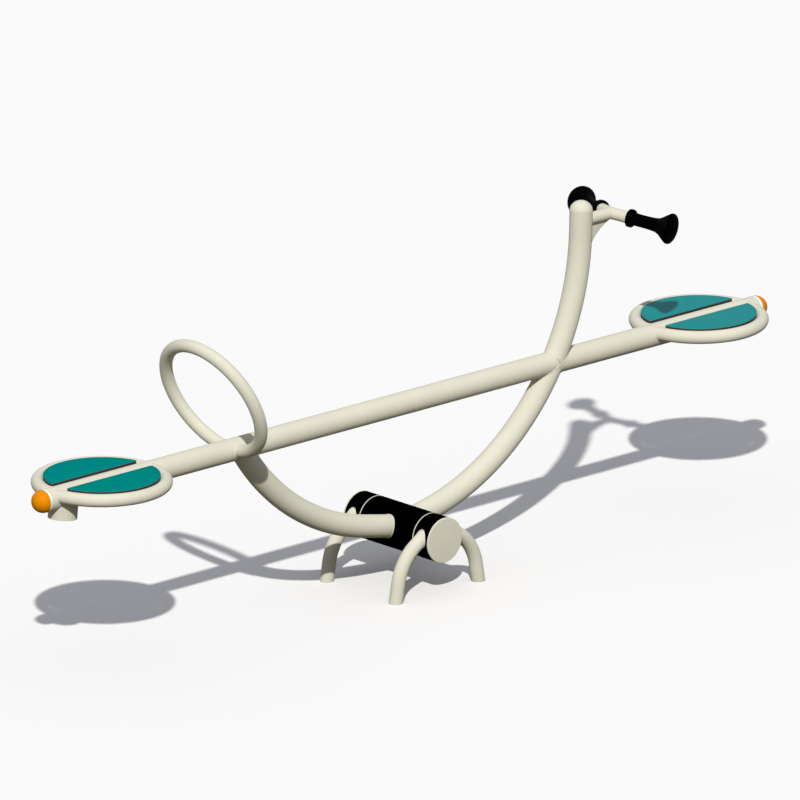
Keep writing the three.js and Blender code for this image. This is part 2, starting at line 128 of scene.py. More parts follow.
LEG_FOOT = PIVOT * [1, 1, 0] + np.array([138.4, 0, 0]) * MM
LEG_BEND = 130 * MM
LEG_FOOT_WALL = 4 * MM
LEG_WALL = 2.6 * MM
GUSSET_CENTRE = BEAM_AXIS + np.array([738, 0, 212]) * MM
GUSSET_R = 127 * MM
HALF_DISC_CORNER = 5 * MM
BAR_OVERLAP = 15 * MM
STEM_WALL = 3 * MM
STOP_WALL = 4 * MM
BARREL_WALL = 6.3 * MM
SEAM_BORE = 52 * MM
WEB_LOW, WEB_HIGH, WEB_BORE = 68 * MM, 80 * MM, 22 * MM
DIAPHRAGM_LOW, DIAPHRAGM_HIGH, DIAPHRAGM_BORE = 108 * MM, 118 * MM, 15.3 * MM
CAP_PLUG = 44 * MM
FLUSH_BEAD = 1.0 * MM
GRIP_OUT = np.array([0.30, 0.95, -0.095])
GRIP_START = 51 * MM


# ---------------------------------------------------------------- curves
def unit(v):
    v = np.asarray(v, float)
    return v / np.linalg.norm(v)


class Line:
    """A straight run from a to b."""

    def __init__(self, a, b):
        self.a, self.b = np.asarray(a, float), np.asarray(b, float)
        self.length = float(np.linalg.norm(self.b - self.a))

    def at(self, t):
        return self.a + t[:, None] * (self.b - self.a)

    def along(self, t):
        return np.tile(unit(self.b - self.a), (len(t), 1))


class Arc:
    """A circular arc about centre, spanned by the unit directions across and up."""

    def __init__(self, centre, across, up, radius, start, end):
        self.centre, self.across, self.up = centre, unit(across), unit(up)
        self.radius, self.start, self.end = radius, start, end
        self.length = abs(end - start) * radius

    def at(self, t):
        a = self.start + t * (self.end - self.start)
        return self.centre + self.radius * (np.outer(np.cos(a), self.across) + np.outer(np.sin(a), self.up))

    def along(self, t):
        a = self.start + t * (self.end - self.start)
        turn = np.outer(-np.sin(a), self.across) + np.outer(np.cos(a), self.up)
        return turn * math.copysign(1, self.end - self.start)


class Chain:
    """Curves end to end, with t in proportion to length."""

    def __init__(self, *parts):
        self.parts = parts
        self.length = sum(p.length for p in parts)

    def _each(self, t, what):
        out = np.zeros((len(t), 3))
        start = 0.0
        for i, p in enumerate(self.parts):
            share = p.length / self.length
            begin = start if i else -np.inf
            finish = start + share if i + 1 < len(self.parts) else np.inf
            mask = (t >= begin) & (t < finish)
            if mask.any():
                out[mask] = getattr(p, what)((t[mask] - start) / share)
            start += share
        return out

    def at(self, t):
        return self._each(t, "at")

    def along(self, t):
        return self._each(t, "along")


def bent(start, corner, end, radius):
    """A straight run, a bend of that radius at the corner, and a second straight run."""
    back, on = unit(start - corner), unit(end - corner)
    half = math.acos(float(back @ on)) / 2
    setback = radius / math.tan(half)
    centre = corner + unit(back + on) * radius / math.sin(half)
    first, last = corner + back * setback, corner + on * setback
    return Chain(Line(start, first), Arc(centre, first - centre, -back, radius, 0, math.pi - 2 * half),
                 Line(last, end))


# ---------------------------------------------------------------- meshes
def add_mesh(name, verts, faces, material, body, replaces=(), sharp=32, smooth=True):
    mesh = bpy.data.meshes.new(name)
    mesh.from_pydata([tuple(v) for v in verts], [], faces)
    mesh.update()
    obj = bpy.data.objects.new(name, mesh)
    bpy.context.scene.collection.objects.link(obj)
    if smooth:
        mesh.shade_smooth()
        mesh.set_sharp_from_angle(angle=math.radians(sharp))
    materials = material if isinstance(material, (list, tuple)) else [material]
    for m in materials:
        mesh.materials.append(m)
    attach(obj, body)
    if replaces:
        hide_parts(*replaces)
    return obj


def grid_faces(rows, columns, start=0, flip=False, wrap=True):
    """Quads between rows of a grid whose columns close on themselves."""
    faces = []
    for i in range(rows - 1):
        for j in range(columns if wrap else columns - 1):
            k = (j + 1) % columns
            a, b = start + i * columns + j, start + i * columns + k
            c, d = b + columns, a + columns
            faces.append((a, d, c, b) if flip else (a, b, c, d))
    return faces


def trimmed(place, start, stop, clear):
    """Per column, the t where the surface leaves a neighbour: start is inside it, stop outside."""
    inside, outside = np.array(start, float), np.array(stop, float)
    for _ in range(40):
        t = (inside + outside) / 2
        out = clear(place(t)) > 0
        outside = np.where(out, t, outside)
        inside = np.where(out, inside, t)
    return outside


def clear_of_cylinder(point, axis, radius):
    point, axis = np.asarray(point, float), unit(axis)

    def clear(p):
        away = p - point
        away = away - np.outer(away @ axis, axis)
        return np.linalg.norm(away, axis=1) - radius

    return clear


class Tube:
    """A round tube along a flat curve. Each end is cut to its neighbour's surface, if it has one.

    With bore_end the tube is closed at its far end, and the bore stops at that surface.
    """

    def __init__(self, path, side, radius, start=None, end=None, around=64, wall=2.6 * MM, bore_end=None):
        self.path, self.side, self.radius, self.wall = path, unit(side), radius, wall
        self.angles = np.arange(around) * TAU / around
        self.cuts = (start, end)
        self.bore_end = bore_end

    def surface(self, t, radius):
        """Points at parameters t, one for each angle round the tube."""
        along = self.path.along(t)
        across = np.cross(along, self.side)
        return self.path.at(t) + radius * (np.cos(self.angles)[:, None] * self.side
                                           + np.sin(self.angles)[:, None] * across)

    def ends(self, radius, cuts=None):
        n = len(self.angles)
        found = []
        for cut, edge in zip(cuts or self.cuts, (0.0, 1.0)):
            if cut is None:
                found.append(np.full(n, edge))
            else:
                found.append(trimmed(lambda t: self.surface(t, radius), np.full(n, edge),
                                     np.full(n, 0.5), cut))
        return found

    def rim(self, last, lift=0.0):
        """The closed line where an end of the tube meets its neighbour."""
        return self.surface(self.ends(self.radius + lift)[1 if last else 0], self.radius + lift)

    def mesh(self, step):
        rows = max(4, int(self.path.length / step))
        n = len(self.angles)
        verts = []
        bore_cuts = (self.cuts[0], self.bore_end or self.cuts[1])
        for radius, cuts in ((self.radius, self.cuts), (self.radius - self.wall, bore_cuts)):
            t0, t1 = self.ends(radius, cuts)
            for i in range(rows + 1):
                verts.extend(self.surface(t0 + (t1 - t0) * i / rows, radius))
        count = (rows + 1) * n
        faces = grid_faces(rows + 1, n) + grid_faces(rows + 1, n, start=count, flip=True)
        far = rows * n
        open_ends = [0] if self.bore_end else [0, far]
        for edge in open_ends:
            for j in range(n):
                k = (j + 1) % n
                faces.append((edge + j, edge + k, edge + count + k, edge + count + j))
        if self.bore_end:
            faces.append(tuple(range(far, far + n)))
            faces.append(tuple(range(count + far, count + far + n)))
        return verts, faces


def fix_normals(obj):
    """Faces point out, whatever way round the pieces were listed."""
    bm = bmesh.new()
    bm.from_mesh(obj.data)
    bmesh.ops.remove_doubles(bm, verts=bm.verts, dist=1e-7)
    bmesh.ops.recalc_face_normals(bm, faces=bm.faces)
    bm.to_mesh(obj.data)
    bm.free()
    obj.data.update()


def add_tube(name, tube, material, body, replaces=(), step=12 * MM):
    verts, faces = tube.mesh(step)
    obj = add_mesh(name, verts, faces, material, body, replaces)
    fix_normals(obj)
    return obj


def closed_loop(points, spacing):
    """The same closed line with evenly spaced points."""
    points = np.vstack([points, points[:1]])
    lengths = np.concatenate([[0], np.cumsum(np.linalg.norm(np.diff(points, axis=0), axis=1))])
    count = max(12, int(lengths[-1] / spacing))
    wanted = np.arange(count) * lengths[-1] / count
    return np.stack([np.interp(wanted, lengths, points[:, i]) for i in range(3)], axis=1), lengths[-1]


def add_bead(name, loops, body, radius=1.7 * MM, ripple=0.10, pitch=2.6 * MM):
    """Weld beads: a round fillet with fine ripples along each closed line."""
    around = 8
    verts, faces = [], []
    for loop in loops:
        line, length = closed_loop(loop, 0.9 * MM)
        n = len(line)
        along = np.roll(line, -1, 0) - np.roll(line, 1, 0)
        along /= np.linalg.norm(along, axis=1)[:, None]
        hub = line.mean(0)
        across = line - hub
        across -= (across * along).sum(1)[:, None] * along
        across /= np.linalg.norm(across, axis=1)[:, None]
        up = np.cross(along, across)
        waves = round(length / pitch)
        size = radius * (1 + ripple * np.sin(np.arange(n) * TAU * waves / n))
        start = len(verts)
        for i in range(n):
            for j in range(around):
                a = TAU * j / around
                verts.append(line[i] + size[i] * (math.cos(a) * across[i] + math.sin(a) * up[i]))
        for i in range(n):
            for j in range(around):
                k, m = (i + 1) % n, (j + 1) % around
                faces.append((start + i * around + j, start + k * around + j,
                              start + k * around + m, start + i * around + m))
    obj = add_mesh(name, verts, faces, CREAM, body)
    fix_normals(obj)
    return obj


def rounded(profile, radius, steps=5, closed=False):
    """A profile of (radius, height) points with each corner rounded by radius, or by its own third value."""
    points = [np.array(p[:2], float) for p in profile]
    sizes = [p[2] if len(p) > 2 else radius for p in profile]
    out = []
    n = len(points)
    for i, (p, size) in enumerate(zip(points, sizes)):
        if (not closed and i in (0, n - 1)) or size <= 0:
            out.append(p)
            continue
        before, after = points[i - 1] - p, points[(i + 1) % n] - p
        lb, la = np.linalg.norm(before), np.linalg.norm(after)
        before, after = before / lb, after / la
        half = math.acos(max(-1.0, min(1.0, float(before @ after)))) / 2
        if half > math.radians(88):
            out.append(p)
            continue
        reach = min(size / math.tan(half), 0.49 * lb, 0.49 * la)
        a, b = p + before * reach, p + after * reach
        for k in range(steps + 1):
            s = k / steps
            out.append((1 - s) ** 2 * a + 2 * s * (1 - s) * p + s * s * b)
    if closed:
        out.append(out[0])
    return out


def lathe(profile, origin, axis, around=96):
    """A turned piece: (radius, height) points about an axis. Poles and closed profiles are merged later."""
    axis = unit(axis)
    helper = EX if abs(axis[0]) < 0.9 else EY
    u = unit(np.cross(axis, helper))
    v = np.cross(axis, u)
    angles = np.arange(around) * TAU / around
    ring = np.outer(np.cos(angles), u) + np.outer(np.sin(angles), v)
    verts = [row for r, h in profile for row in (np.asarray(origin) + axis * h + r * ring)]
    return verts, grid_faces(len(profile), around)


def add_lathe(name, profile, origin, axis, material, body, replaces=(), around=96, sharp=32):
    verts, faces = lathe(profile, origin, axis, around)
    obj = add_mesh(name, verts, faces, material, body, replaces, sharp)
    fix_normals(obj)
    obj.data.set_sharp_from_angle(angle=math.radians(sharp))
    return obj


# ---------------------------------------------------------------- materials
def nodes_of(name):
    material = bpy.data.materials.new(name)
    material.use_nodes = True
    tree = material.node_tree
    shader = tree.nodes["Principled BSDF"]
    return material, tree, shader


def noise(tree, scale, detail=2.0, roughness=0.5):
    place = tree.nodes.get("Place") or tree.nodes.new("ShaderNodeTexCoord")
    place.name = "Place"
    node = tree.nodes.new("ShaderNodeTexNoise")
    node.inputs["Scale"].default_value = scale
    node.inputs["Detail"].default_value = detail
    node.inputs["Roughness"].default_value = roughness
    tree.links.new(place.outputs["Object"], node.inputs["Vector"])
    return node.outputs["Fac"]


def ramp(tree, value, low, high, start=0.3, end=0.7):
    node = tree.nodes.new("ShaderNodeValToRGB")
    node.color_ramp.elements[0].position = start
    node.color_ramp.elements[1].position = end
    node.color_ramp.elements[0].color = (*low, 1) if not isinstance(low, float) else (low, low, low, 1)
    node.color_ramp.elements[1].color = (*high, 1) if not isinstance(high, float) else (high, high, high, 1)
    tree.links.new(value, node.inputs["Fac"])
    return node.outputs["Color"]


def bump(tree, shader, heights):
    """Bump nodes in a row: (height output, strength, distance)."""
    last = None
    for value, strength, distance in heights:
        node = tree.nodes.new("ShaderNodeBump")
        node.inputs["Strength"].default_value = strength
        node.inputs["Distance"].default_value = distance
        tree.links.new(value, node.inputs["Height"])
        if last:
            tree.links.new(last, node.inputs["Normal"])
        last = node.outputs["Normal"]
    tree.links.new(last, shader.inputs["Normal"])


def mottled(name, low, high, patch, rough, grain, metallic=0.0, specular=0.5, diffuse=0.0):
    """A finish with slow colour drift, uneven roughness and a fine surface grain."""
    material, tree, shader = nodes_of(name)
    shader.inputs["Metallic"].default_value = metallic
    shader.inputs["Specular IOR Level"].default_value = specular
    shader.inputs["Diffuse Roughness"].default_value = diffuse
    tree.links.new(ramp(tree, noise(tree, patch, 4, 0.6), low, high), shader.inputs["Base Color"])
    tree.links.new(ramp(tree, noise(tree, patch * 3, 3), *rough), shader.inputs["Roughness"])
    bump(tree, shader, [(noise(tree, scale, 2), strength, distance) for scale, strength, distance in grain])
    return material


def tint(r, g, b, k=1.0):
    """Linear colour from an sRGB one in 0 to 255."""
    def lin(c):
        c = c / 255
        return c / 12.92 if c <= 0.04045 else ((c + 0.055) / 1.055) ** 2.4
    return tuple(k * lin(c) for c in (r, g, b))


CREAM = mottled("cream_powder_coat", (0.620, 0.602, 0.494), (0.658, 0.640, 0.526), 9, (0.56, 0.66),
                [(650, 0.10, 0.0004), (2600, 0.05, 0.0001)], specular=0.05, diffuse=0.1)
BLACK_COAT = mottled("black_powder_coat", (0.0001, 0.0001, 0.0001), (0.0004, 0.0004, 0.0004), 14,
                     (0.70, 0.80), [(1100, 0.16, 0.0003)], specular=0.0)
RUBBER = mottled("black_rubber", (0.0001, 0.0001, 0.0001), (0.0004, 0.0004, 0.0004), 30, (0.46, 0.54),
                 [(1500, 0.12, 0.0003)], specular=0.025)
ORANGE = mottled("orange_plastic", (0.70, 0.226, 0.0), (0.745, 0.243, 0.0), 25, (0.34, 0.42),
                 [(420, 0.03, 0.0003)], specular=0.05)
SEAL = mottled("pale_seal", tint(222, 232, 236), tint(232, 240, 243), 40, (0.5, 0.6), [(900, 0.06, 0.0002)],
               specular=0.2)
STEEL = mottled("zinc_steel", (0.52, 0.53, 0.55), (0.66, 0.67, 0.69), 60, (0.22, 0.40),
                [(1200, 0.10, 0.0002)], metallic=1.0)
BRONZE = mottled("bronze", (0.45, 0.28, 0.12), (0.58, 0.38, 0.17), 60, (0.25, 0.4),
                 [(1400, 0.08, 0.0002)], metallic=1.0)
TEAL = mottled("teal_laminate", (0.0, 0.214, 0.196), (0.0, 0.230, 0.210), 12, (0.60, 0.7),
               [(330, 0.10, 0.0004), (1300, 0.06, 0.0002)], specular=0.0)
# The right seat's copy of the same teal laminate: glossier, and its lighter, bluer base colour is painted
# sheen, a painted reflection haze.
TEAL_GLOSSY_PAINTED_SHEEN = mottled("teal_laminate_glossy_painted_sheen", (0.0, 0.240, 0.241), (0.001, 0.256, 0.257), 12, (0.34, 0.4),
                      [(330, 0.08, 0.0004), (1300, 0.05, 0.0002)], specular=0.10)


def laminate_core():
    """The panel's cut edge: dark phenolic core in fine layers."""
    material, tree, shader = nodes_of("laminate_core")
    place = tree.nodes.new("ShaderNodeTexCoord")
    squeeze = tree.nodes.new("ShaderNodeMapping")
    squeeze.inputs["Scale"].default_value = (25, 25, 1600)
    layers = tree.nodes.new("ShaderNodeTexNoise")
    layers.inputs["Scale"].default_value = 1.0
    layers.inputs["Detail"].default_value = 3
    tree.links.new(place.outputs["Object"], squeeze.inputs["Vector"])
    tree.links.new(squeeze.outputs["Vector"], layers.inputs["Vector"])
    tree.links.new(ramp(tree, layers.outputs["Fac"], tint(48, 33, 33), tint(80, 54, 54)),
                   shader.inputs["Base Color"])
    tree.links.new(ramp(tree, layers.outputs["Fac"], 0.5, 0.7), shader.inputs["Roughness"])
    bump(tree, shader, [(layers.outputs["Fac"], 0.2, 0.0002)])
    return material


CORE = laminate_core()
FINISH = {"cream_powder_coat": CREAM, "black_powder_coat": BLACK_COAT, "black_rubber": RUBBER,
          "orange_plastic": ORANGE, "pale_seal": SEAL, "zinc_steel": STEEL, "bronze": BRONZE,
          "teal_laminate": TEAL}


# ---------------------------------------------------------------- shared cutters
on_beam = clear_of_cylinder(BEAM_AXIS, EX, BEAM_R)
on_sleeve = clear_of_cylinder(PIVOT, EY, BARREL_R)


# ---------------------------------------------------------------- beam
def beam():
    r, bore, h = BEAM_R, BEAM_R - BEAM_WALL, BEAM_HALF
    edge_round, row_spacing = 0.5 * MM, 60 * MM
    loop = rounded([(bore, -h), (r, -h), (r, h), (bore, h)], edge_round, 3, closed=True)
    rows = []
    for p, q in zip(loop[:-1], loop[1:]):
        n = max(1, int(abs(q[1] - p[1]) / row_spacing))
        rows.extend(p + (q - p) * k / n for k in range(n))
    rows.append(loop[-1])
    add_lathe("beam_tube", rows, BEAM_AXIS, EX, CREAM, "rocker", ["main_beam"],
              around=96)


def hollow_plug(rise, depth):
    """The inside of a domed cap and the spigot that plugs it into a tube: (radius, height) points."""
    hollow = 20 * MM
    inside = [(hollow * math.sin(a), rise * math.cos(a)) for a in np.linspace(0, math.pi / 2, 8)]
    ease = 1.5 * MM
    rim = [(hollow, ease - depth), (hollow + ease, -depth), (SPIGOT_R - ease, -depth),
           (SPIGOT_R, ease - depth), (SPIGOT_R, -0.4 * MM)]
    return np.array(inside + rim)


def beam_end(side, end):
    seal_low, seal_high = low_high(f"end_seal_{end}")
    face = min(abs(seal_low[0]), abs(seal_high[0]))
    outer = max(abs(seal_low[0]), abs(seal_high[0]))
    r = BEAM_R
    at = BEAM_AXIS * [0, 1, 1]
    axis = EX * side
    bore = SPIGOT_R + 0.3 * MM
    seal = rounded([(bore, face), (r + 0.15 * MM, face, 0.8 * MM), (r + 0.15 * MM, outer, 0.8 * MM),
                    (bore, outer)], 0.3 * MM, 4, closed=True)
    add_lathe(f"beam_end_seal_{end}", seal, at, axis, SEAL, "rocker", [f"end_seal_{end}"])
    low = outer + 0.3 * MM
    rise = CAD_HIGH[0] - low
    dome = hollow_plug(22 * MM, 24 * MM) + [0, low]
    foot = [np.array([r - 0.6 * MM, low]), np.array([r, low + 0.5 * MM])]
    arch = [np.array([r * math.cos(a), low + 0.5 * MM + (rise - 0.5 * MM) * math.sin(a)])
            for a in np.linspace(0.03, math.pi / 2, 34)]
    arch[-1][0] = 0
    add_lathe(f"beam_dome_{end}", [*dome, *foot, *arch], at, axis, ORANGE, "rocker",
              [f"end_dome_{end}"])


# ---------------------------------------------------------------- seats
def seat_ring(side, end):
    centre = np.array([side * SEAT_X, 0, RING_Z])
    rims = []
    for face, front in (("near", -1), ("far", 1)):
        path = Arc(centre, EX, EY * front, RING_R, 0, math.pi)
        tube = Tube(path, EZ, RING_TUBE, on_beam, on_beam, around=48, wall=RING_WALL)
        add_tube(f"seat_rim_{end}_{face}", tube, CREAM, "rocker",
                 [f"seat_ring_{end}_{face}"], step=6 * MM)
        rims += [tube.rim(False), tube.rim(True)]
    add_bead(f"seat_weld_{end}", rims, "rocker")


def half_disc(radius, edge, corner):
    """Outline of a half disc above y = edge, corners rounded, as an array of (x, y)."""
    # centre of each corner's round: corner from the straight edge and from the arc
    cy = edge + corner
    cx = math.sqrt((radius - corner) ** 2 - cy ** 2)
    touch = math.atan2(cy, cx)
    points = [(cx + corner * math.cos(a), cy + corner * math.sin(a))
              for a in np.linspace(-math.pi / 2, touch, 9)]
    points += [(radius * math.cos(a), radius * math.sin(a))
               for a in np.linspace(touch, math.pi - touch, 97)[1:-1]]
    points += [(-cx + corner * math.cos(a), cy + corner * math.sin(a))
               for a in np.linspace(math.pi - touch, 1.5 * math.pi, 9)]
    points += [(x, edge) for x in np.linspace(-cx, cx, 41)[1:-1]]
    return np.array(points)


def seat_pad(side, end, face, front):
    """A laminate half disc: coloured faces, dark core edge, a chamfer that seats on the ring."""
    top, low = PAD_HIGH[2], PAD_LOW[2]
    edge, radius = PAD_LOW[1], PAD_HIGH[1]
    chamfer, inset, ease, corner = 4.4 * MM, 6 * MM, 0.8 * MM, HALF_DISC_CORNER
    levels = [(inset + 1 * MM, low), (inset, low + 0.6 * MM), (0.25 * MM, low + chamfer),
              (0, low + chamfer + 0.4 * MM), (0, top - ease), (0.1 * MM, top - 0.55 * ease),
              (0.35 * ease, top - 0.2 * ease), (ease, top)]
    core_upto = 4
    verts, faces, kinds = [], [], []
    for shrink, z in levels:
        # the straight edge keeps its place below, so only the round side carries the chamfer
        shift = min(shrink, ease)
        for x, y in half_disc(radius - shrink, edge + shift, corner):
            verts.append((side * SEAT_X + front * x, front * y, z))
    n = len(half_disc(radius, edge, corner))
    for i in range(len(levels) - 1):
        faces += grid_faces(2, n, start=i * n)
        kinds += [1 if i < core_upto else 0] * n
    # faces: rings stepping towards the middle keep the quads even
    for base, flip in ((0, True), ((len(levels) - 1) * n, False)):
        centre = np.mean([verts[base + j] for j in range(n)], axis=0)
        previous = base
        for share in (0.75, 0.5, 0.25):
            start = len(verts)
            for j in range(n):
                verts.append(tuple(centre + (np.array(verts[base + j]) - centre) * share))
            for j in range(n):
                k = (j + 1) % n
                quad = (previous + j, previous + k, start + k, start + j)
                faces.append(quad[::-1] if flip else quad)
                kinds.append(0)
            previous = start
        hub = len(verts)
        verts.append(tuple(centre))
        for j in range(n):
            k = (j + 1) % n
            faces.append((previous + j, previous + k, hub))
            kinds.append(0)
    # the right seat's pads take the teal copy whose lighter base colour is painted sheen
    obj = add_mesh(f"seat_panel_{end}_{face}", verts, faces, [TEAL if side < 0 else TEAL_GLOSSY_PAINTED_SHEEN, CORE],
                   "rocker",
                   [f"seat_pad_{end}_{face}"], sharp=40)
    for polygon, kind in zip(obj.data.polygons, kinds):
        polygon.material_index = kind
    fix_normals(obj)


def bevelled(obj, width, segments=3):
    modifier = obj.modifiers.new("edges", "BEVEL")
    modifier.width, modifier.segments = width, segments
    modifier.limit_method = "ANGLE"
    modifier.angle_limit = math.radians(35)
    graph = bpy.context.evaluated_depsgraph_get()
    mesh = bpy.data.meshes.new_from_object(obj.evaluated_get(graph))
    obj.modifiers.clear()
    obj.data = mesh
    mesh.shade_smooth()
    mesh.set_sharp_from_angle(angle=math.radians(50))


def prism(outline, low, high, place):
    """An outline of (x, y) points extruded from low to high; place turns (x, y, z) into the frame."""
    n = len(outline)
    verts = [place(x, y, z) for z in (low, high) for x, y in outline]
    faces = [tuple(range(n))[::-1], tuple(range(n, 2 * n))]
    faces += [(i, (i + 1) % n, n + (i + 1) % n, n + i) for i in range(n)]
    return verts, faces


def seat_plate(side, end, face, front):
    """The steel half disc that carries the pad and closes the gaps at its edges."""
    node = f"seat_plate_{end}_{face}"
    low, high = low_high(node)
    edge, reach = sorted((abs(low[1]), abs(high[1])))
    verts, faces = prism(half_disc(reach, edge, HALF_DISC_CORNER), low[2], high[2],
                         lambda x, y, z: (side * SEAT_X + front * x, front * y, z))
    obj = add_mesh(f"seat_carrier_{end}_{face}", verts, faces, CREAM, "rocker", [node])
    fix_normals(obj)
    bevelled(obj, 0.6 * MM)


def pad_screw(end, face, letter):
    node = f"pad_screw_{end}_{face}_{letter}"
    low, high = low_high(node)
    at = (low + high) / 2
    at[2] = 0
    head_r = (high[0] - low[0]) / 2
    z0 = low[2]
    head = 3.5 * MM
    shank = 2.4 * MM
    socket = 2.2 * MM
    profile = [(0, z0 + 1.9 * MM), (socket, z0 + 1.9 * MM), (socket, z0 + 0.2 * MM), (socket + 0.4 * MM, z0),
               (head_r - 1.4 * MM, z0), (head_r - 0.4 * MM, z0 + 0.6 * MM), (head_r, z0 + 1.8 * MM),
               (head_r, z0 + head - 0.4 * MM), (head_r - 0.3 * MM, z0 + head), (shank, z0 + head)]
    threads = 9
    start, stop = z0 + head, high[2] - 0.6 * MM
    for i in range(threads):
        p = (stop - start) / threads
        z = start + i * p
        profile += [(shank, z + 0.15 * p), (shank - 0.35 * MM, z + 0.5 * p), (shank, z + 0.85 * p)]
    profile += [(shank - 0.5 * MM, high[2]), (0, high[2])]
    add_lathe(f"screw_{end}_{face}_{letter}", profile, at, EZ, STEEL, "rocker", [node],
              around=36)


def seats():
    for end, side in (("left", -1), ("right", 1)):
        seat_ring(side, end)
        for face, front in (("near", -1), ("far", 1)):
            seat_pad(side, end, face, front)
            seat_plate(side, end, face, front)
            for letter in "ab":
                pad_screw(end, face, letter)


# ---------------------------------------------------------------- bow and column
def bow_path(side):
    """From the beam down one arc of the bow, then straight along its end into the hub."""
    centre, radius = BOW_CENTRE[side], BOW_R[side]
    meets = math.asin((centre[2] - BEAM_AXIS[2]) / radius)
    start = -meets if side > 0 else meets - math.pi
    arc = Arc(centre, EX, EZ, radius, start, side * BOW_SLOPE - math.pi / 2)
    last = arc.at(np.array([1.0]))[0]
    run = abs(last[0]) - BOW_STOP
    return Chain(arc, Line(last, last - np.array([side * run, 0, run * math.tan(BOW_SLOPE)])))


def bow_and_column():
    welds = []
    hub_welds = []
    for end, side in (("left", -1), ("right", 1)):
        tube = Tube(bow_path(side), EY, BEAM_R, on_beam, on_sleeve, around=72, wall=BEAM_WALL)
        add_tube(f"bow_tube_{end}", tube, CREAM, "rocker", [f"bow_{end}"], step=7 * MM)
        welds.append(tube.rim(False))
        hub_welds.append(tube.rim(True))
    lean = np.array([math.sin(COLUMN_LEAN), 0, math.cos(COLUMN_LEAN)])
    meets = math.asin((BOW_CENTRE[1][2] - BEAM_AXIS[2]) / BOW_R[1])
    arc = Arc(BOW_CENTRE[1], EX, EZ, BOW_R[1], -meets, -COLUMN_LEAN)
    top = arc.at(np.array([1.0]))[0]
    tube_top = top + lean * (COLUMN_TUBE_TOP - top[2]) / lean[2]
    column = Tube(Chain(arc, Line(top, tube_top)), EY, BEAM_R, on_beam, None, around=72, wall=BEAM_WALL)
    add_tube("column_tube", column, CREAM, "rocker", ["handle_column"], step=7 * MM)
    welds.append(column.rim(False))
    add_bead("bow_welds", welds, "rocker")
    add_bead("hub_welds", hub_welds, "rocker", radius=FLUSH_BEAD)

    low = 0.1 * MM
    height = (COLUMN_TOP - tube_top[2]) / lean[2]
    r = BEAM_R
    arch = [(r * math.cos(a), low + (height - low) * math.sin(a)) for a in np.linspace(0, math.pi / 2, 32)]
    arch[-1] = (0, height)
    add_lathe("column_dome", [*hollow_plug(height - 5 * MM, 20 * MM), *arch], tube_top, lean, CREAM, "rocker",
              ["column_cap"])
    return tube_top, lean


# ---------------------------------------------------------------- handlebar
def smooth_profile(points, per=6):
    """A Catmull-Rom curve through (radius, height) points."""
    p = np.array(points, float)
    p = np.vstack([2 * p[0] - p[1], p, 2 * p[-1] - p[-2]])
    out = []
    for i in range(1, len(p) - 2):
        for k in range(per):
            t = k / per
            a, b, c, d = p[i - 1], p[i], p[i + 1], p[i + 2]
            out.append(0.5 * ((2 * b) + (c - a) * t + (2 * a - 5 * b + 4 * c - d) * t * t
                              + (3 * b - a - 3 * c + d) * t ** 3))
    out.append(p[-2])
    return out


def grip_profile():
    """A trumpet grip: flange at the bar, slim waist, wide flared end with a domed face."""
    bore = [(0, 117), (10.2, 117), (10.2, 1), (11, 0), (19.8, 0)]
    flange = [(19.8 + 3 * math.sin(a), (3 if a < math.pi / 2 else 10) - 3 * math.cos(a))
              for a in np.linspace(0.25, math.pi - 0.25, 12)]
    body = smooth_profile([(17.6, 13.0), (16.5, 14.8), (16.0, 24), (15.8, 43), (16.5, 65), (18.4, 82),
                           (23.4, 92.5), (29.8, 102), (35.6, 110.5)])
    rim = [(35.4 + 3.4 * math.sin(a), 117.2 - 4.4 * math.cos(a)) for a in np.linspace(0.45, 2.75, 14)]
    face = [(r, 121.3 + 6.7 * (1 - (r / 36.7) ** 2.6)) for r in np.linspace(35.4, 0, 16)]
    return [np.array(p) * MM for p in bore + flange + body + rim + face]


def handlebar(column_foot, lean):
    joint = np.array([STEM_END, 0, STEM_Z])
    on_column = clear_of_cylinder(column_foot, lean, BEAM_R)
    stem = Tube(Line(joint - EX * 0.1, joint), EY, STEM_R, on_column, None, around=48, wall=STEM_WALL)
    add_tube("stem_tube", stem, CREAM, "rocker", ["handle_stem"])
    welds = [stem.rim(False)]
    add_bead("stem_welds", welds, "rocker", radius=1.3 * MM)

    for face, front in (("near", -1), ("far", 1)):
        out = unit(GRIP_OUT * [1, front, 1])
        side = unit(np.cross(out, EZ))
        mid = clear_of_plane(joint, EY * front)
        bar = Tube(Line(joint - out * BAR_OVERLAP, joint + out * GRIP_START), side, STEM_R, mid, None,
                   around=48, wall=STEM_WALL)
        add_bar(f"bar_{face}", bar, joint, out, [f"handle_bar_{face}"])
        add_lathe(f"grip_{face}", grip_profile(), joint + out * GRIP_START, out, RUBBER, "rocker",
                  [f"handle_grip_{face}"], around=96, sharp=50)

    gusset(column_foot, lean)


def clear_of_plane(point, normal):
    return lambda p: (p - point) @ normal


def add_bar(name, tube, joint, out, replaces):
    """The stub welded to the stem, closed by a shoulder with the grip's spigot on it."""
    rows = 8
    t0, t1 = tube.ends(tube.radius)
    n = len(tube.angles)
    verts = []
    for i in range(rows + 1):
        verts.extend(tube.surface(t0 + (t1 - t0) * i / rows, tube.radius))
    # shoulder, spigot, and closed tip
    tip = joint + out * (GRIP_START + 112 * MM)
    for radius, back in ((14.2, 0), (10.0, 0), (10.0, 1)):
        centre = joint + out * GRIP_START if not back else tip
        along = tube.path.along(np.zeros(n))
        across = np.cross(along, tube.side)
        verts.extend(centre + radius * MM * (np.cos(tube.angles)[:, None] * tube.side
                                             + np.sin(tube.angles)[:, None] * across))
    faces = grid_faces(rows + 4, n)
    faces.append(tuple(range((rows + 3) * n, (rows + 4) * n)))
    faces.append(tuple(range(n))[::-1])
    obj = add_mesh(name, verts, faces, CREAM, "rocker", replaces)
    fix_normals(obj)
    obj.data.set_sharp_from_angle(angle=math.radians(35))


